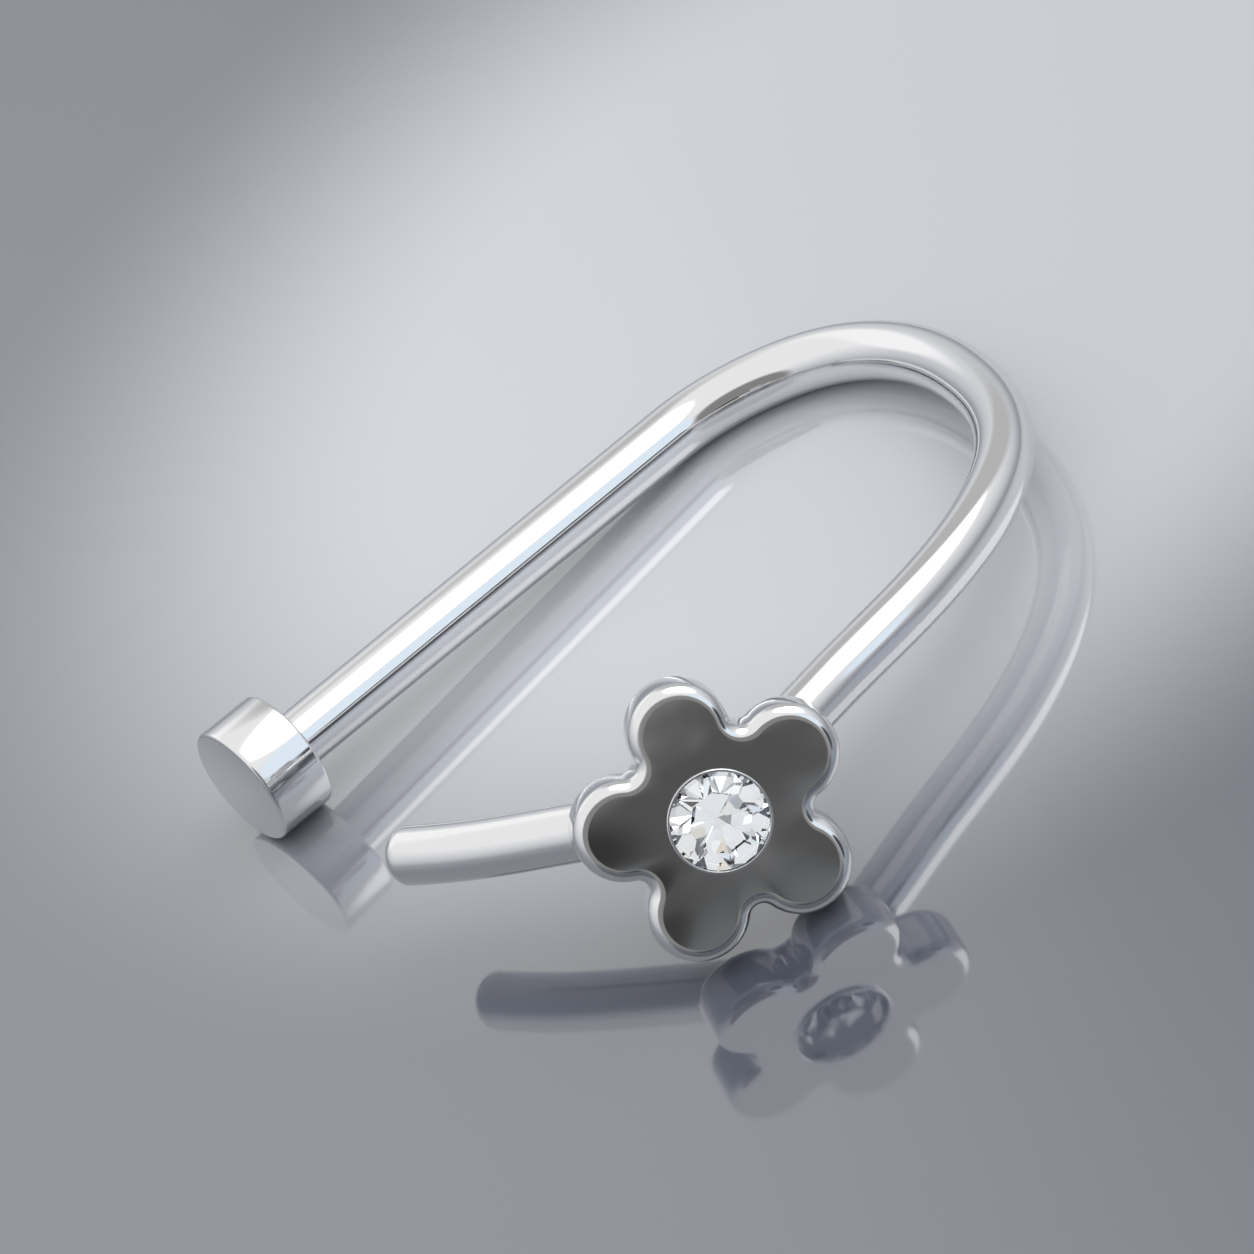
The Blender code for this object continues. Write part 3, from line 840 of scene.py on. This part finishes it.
def soft_spot(tree, coordinates, middle, reach):
    """A round gradient in the named coordinates: 1 in its middle, 0 where it ends."""
    where = tree.nodes.new("ShaderNodeTexCoord")
    mapping = tree.nodes.new("ShaderNodeMapping")
    mapping.vector_type = "TEXTURE"
    mapping.inputs["Location"].default_value = middle
    mapping.inputs["Scale"].default_value = reach
    spot = tree.nodes.new("ShaderNodeTexGradient")
    spot.gradient_type = "SPHERICAL"
    tree.links.new(where.outputs[coordinates], mapping.inputs["Vector"])
    tree.links.new(mapping.outputs["Vector"], spot.inputs["Vector"])
    return spot.outputs["Fac"]


def emitter(name, tint, strength, softness):
    """A glowing oval whose edge fades away over its outer share."""
    material = bpy.data.materials.new(name)
    material.use_nodes = True
    tree = material.node_tree
    shader = tree.nodes["Principled BSDF"]
    shader.inputs["Base Color"].default_value = (0, 0, 0, 1)
    shader.inputs["Specular IOR Level"].default_value = 0
    shader.inputs["Emission Color"].default_value = (*tint, 1)
    shader.inputs["Emission Strength"].default_value = strength
    fade = tree.nodes.new("ShaderNodeMapRange")
    fade.interpolation_type = "SMOOTHSTEP"
    fade.inputs["From Max"].default_value = softness
    tree.links.new(soft_spot(tree, "UV", (0.5, 0.5, 0), (0.5, 0.5, 1)), fade.inputs["Value"])
    tree.links.new(fade.outputs["Result"], shader.inputs["Alpha"])
    return material


# Cards round the cuff, in degrees and millimetres. softness is the share of its half width over which a card
# fades out to its edge. seen_in says whether it shows in the steel, through the stone or in both. A card
# brighter than LIGHT_STRENGTH also lights the floor.
LIGHT_STRENGTH = 2
Card = namedtuple("Card", "name azimuth elevation distance width height strength softness tint seen_in")
CARDS = (
    Card("key_card", 75, 56, 90, 120, 80, 2.4, 0.35, (1, 1, 1), "both"),
    Card("back_card", 130, 34, 91, 100, 90, 0.55, 0.45, (1, 1, 1), "both"),
    Card("bend_card", -172, 34, 90, 98, 56, 1.1, 0.45, (1, 1, 1), "both"),
    Card("blue_card", 26, 24, 90, 60, 70, 1.1, 0.3, (0.80, 0.91, 1), "both"),
    Card("line_card", 22, 2, 80, 36, 33, 0.08, 0.2, (0.85, 0.95, 1), "steel"),
    Card("grey_card", -28, 19, 86, 134, 112, 0.27, 0.3, (1, 0.99, 0.97), "steel"),
    Card("dark_card", -20, 9, 82, 42, 26, 0.095, 0.5, (1, 1, 1), "steel"),
    Card("glow_card", -20, 2.5, 81, 28, 16, 0.17, 1, (0.90, 0.96, 1), "steel"),
    Card("shade_card", -27, 9, 81, 17, 20, 0.04, 0.8, (1, 1, 1), "steel"),
    Card("stone_card", -30, 10, 88, 170, 110, 1.05, 0.3, (0.96, 0.98, 1), "stone"),
    Card("stone_blue", -20, 36, 84, 40, 34, 0.42, 0.4, (0.82, 0.92, 1), "stone"),
    Card("stone_gold", -45, 12, 84, 34, 34, 0.95, 0.5, (1, 0.94, 0.80), "stone"),
    Card("stone_shade", -70, 25, 84, 60, 70, 0.3, 0.4, (0.9, 0.95, 1), "stone"),
)


def stand_card(card):
    """Hangs a light or dark card round the cuff. The camera never sees the card itself."""
    away = look_from(math.radians(card.azimuth), math.radians(card.elevation))
    bm = bmesh.new()
    bm.loops.layers.uv.new()
    bmesh.ops.create_grid(bm, x_segments=1, y_segments=1, size=0.5, calc_uvs=True)
    bmesh.ops.scale(bm, vec=(card.width * MM, card.height * MM, 1), verts=bm.verts)
    turn = away.to_track_quat("-Z", "Y").to_matrix().to_4x4()
    bmesh.ops.transform(bm, matrix=Matrix.Translation(away * card.distance * MM) @ turn, verts=bm.verts)
    mesh = bpy.data.meshes.new(card.name)
    bm.to_mesh(mesh)
    bm.free()
    mesh.materials.append(emitter(card.name, card.tint, card.strength, card.softness))
    made = bpy.data.objects.new(card.name, mesh)
    bpy.context.scene.collection.objects.link(made)
    made.visible_camera = False
    made.visible_shadow = False
    made.visible_diffuse = card.strength > LIGHT_STRENGTH
    made.visible_glossy = card.seen_in != "stone"
    made.visible_transmission = card.seen_in != "steel"


class CUFF_OT_stage(bpy.types.Operator):
    """Lay the floor with its painted pool of light, hang the cards and set the camera"""

    bl_idname = "lip_cuff.stage"
    bl_label = "Studio"

    def execute(self, context):
        studio = context.scene.cuff_studio
        self.lay_floor(studio)
        for card in CARDS:
            stand_card(card)
        self.light_room(studio)
        self.set_camera(studio)
        return {"FINISHED"}

    def lay_floor(self, studio):
        bm = bmesh.new()
        bmesh.ops.create_grid(bm, x_segments=1, y_segments=1, size=studio.floor_width / 2)
        mesh = bpy.data.meshes.new("floor")
        bm.to_mesh(mesh)
        bm.free()
        material = bpy.data.materials.new("floor_painted_light_pool")
        material.use_nodes = True
        tree = material.node_tree
        shader = tree.nodes["Principled BSDF"]
        # Painted light: the floor's colour runs from its pale colour in a pool of light round the cuff to
        # painted shade far from it.
        fade = tree.nodes.new("ShaderNodeValToRGB")
        fade.color_ramp.interpolation = "EASE"
        far, near = fade.color_ramp.elements
        far.color = (*studio.painted_floor_shade, 1)
        near.color = (*studio.floor, 1)
        near.position = 1 - studio.light_pool_core / studio.light_pool_reach
        middle = (studio.light_pool_aside, studio.light_pool_behind, 0)
        spot = soft_spot(tree, "Object", middle, (studio.light_pool_reach,) * 3)
        tree.links.new(spot, fade.inputs["Fac"])
        tree.links.new(fade.outputs["Color"], shader.inputs["Base Color"])
        shader.inputs["Roughness"].default_value = studio.floor_roughness
        shader.inputs["IOR"].default_value = studio.floor_refraction
        mesh.materials.append(material)
        floor = bpy.data.objects.new("floor", mesh)
        bpy.context.scene.collection.objects.link(floor)

    def light_room(self, studio):
        """Lights the cuff with a dome that is darker towards the horizon."""
        world = bpy.data.worlds.new("studio_room")
        world.use_nodes = True
        nodes, links = world.node_tree.nodes, world.node_tree.links
        where = nodes.new("ShaderNodeTexCoord")
        split = nodes.new("ShaderNodeSeparateXYZ")
        fade = nodes.new("ShaderNodeValToRGB")
        stops = fade.color_ramp.elements
        stops.new(math.sin(studio.skirt_foot))
        for stop, rise, tint in zip(
            stops,
            (studio.horizon_top, studio.skirt_foot, studio.skirt_top),
            (studio.horizon, studio.skirt, studio.dome),
        ):
            stop.position = math.sin(rise)
            stop.color = (*tint, 1)
        links.new(where.outputs["Generated"], split.inputs["Vector"])
        links.new(split.outputs["Z"], fade.inputs["Fac"])
        links.new(fade.outputs["Color"], nodes["Background"].inputs["Color"])
        nodes["Background"].inputs["Strength"].default_value = studio.dome_strength
        bpy.context.scene.world = world
        bpy.context.scene.view_settings.view_transform = "Standard"

    def set_camera(self, studio):
        back = look_from(studio.azimuth, studio.elevation)
        level = (-back).to_track_quat("-Z", "Y").to_matrix().to_4x4()
        turn = level @ Matrix.Rotation(-studio.roll, 4, "Z")
        data = bpy.data.cameras.new("camera")
        data.lens = studio.lens
        data.sensor_width = SENSOR_WIDTH
        data.clip_start, data.clip_end = CLIP_START, CLIP_END
        distance = studio.view_width * data.lens / data.sensor_width
        middle = (CAD_LOW + CAD_HIGH) / 2
        offset = turn @ Vector((studio.aim_right, studio.aim_up, studio.aim_back + distance))
        camera = bpy.data.objects.new("camera", data)
        camera.matrix_world = Matrix.Translation(middle + offset) @ turn
        bpy.context.scene.collection.objects.link(camera)
        bpy.context.scene.camera = camera


class CUFF_PT_panel(bpy.types.Panel):
    """Sizes, finish and makers of the lip cuff"""

    bl_idname = "CUFF_PT_panel"
    bl_label = "Lip Cuff"
    bl_space_type = "VIEW_3D"
    bl_region_type = "UI"
    bl_category = "Lip Cuff"

    def draw(self, context):
        for name, group in SETTINGS.items():
            box = self.layout.box()
            box.label(text=group.__doc__)
            for prop in group.__annotations__:
                box.prop(getattr(context.scene, name), prop)
        for operator in OPERATORS:
            self.layout.operator(operator.bl_idname)


SETTINGS = {
    "cuff_hoop": HoopSizes,
    "cuff_head": HeadSizes,
    "cuff_flower": FlowerSizes,
    "cuff_stone": StoneSizes,
    "cuff_finish": Finish,
    "cuff_studio": Studio,
}
OPERATORS = (
    CUFF_OT_hoop,
    CUFF_OT_nail_head,
    CUFF_OT_flower,
    CUFF_OT_solder,
    CUFF_OT_bezel,
    CUFF_OT_stone,
    CUFF_OT_stage,
)


def register():
    for group in SETTINGS.values():
        bpy.utils.register_class(group)
    for name, group in SETTINGS.items():
        setattr(bpy.types.Scene, name, PointerProperty(type=group))
    for operator in OPERATORS:
        bpy.utils.register_class(operator)
    bpy.utils.register_class(CUFF_PT_panel)


def unregister():
    bpy.utils.unregister_class(CUFF_PT_panel)
    for operator in OPERATORS:
        bpy.utils.unregister_class(operator)
    for name, group in SETTINGS.items():
        delattr(bpy.types.Scene, name)
        bpy.utils.unregister_class(group)


def main():
    register()
    bpy.ops.lip_cuff.hoop()
    bpy.ops.lip_cuff.nail_head()
    bpy.ops.lip_cuff.flower()
    bpy.ops.lip_cuff.solder()
    bpy.ops.lip_cuff.bezel()
    bpy.ops.lip_cuff.stone()
    bpy.ops.lip_cuff.stage()


if __name__ == "__main__":
    main()
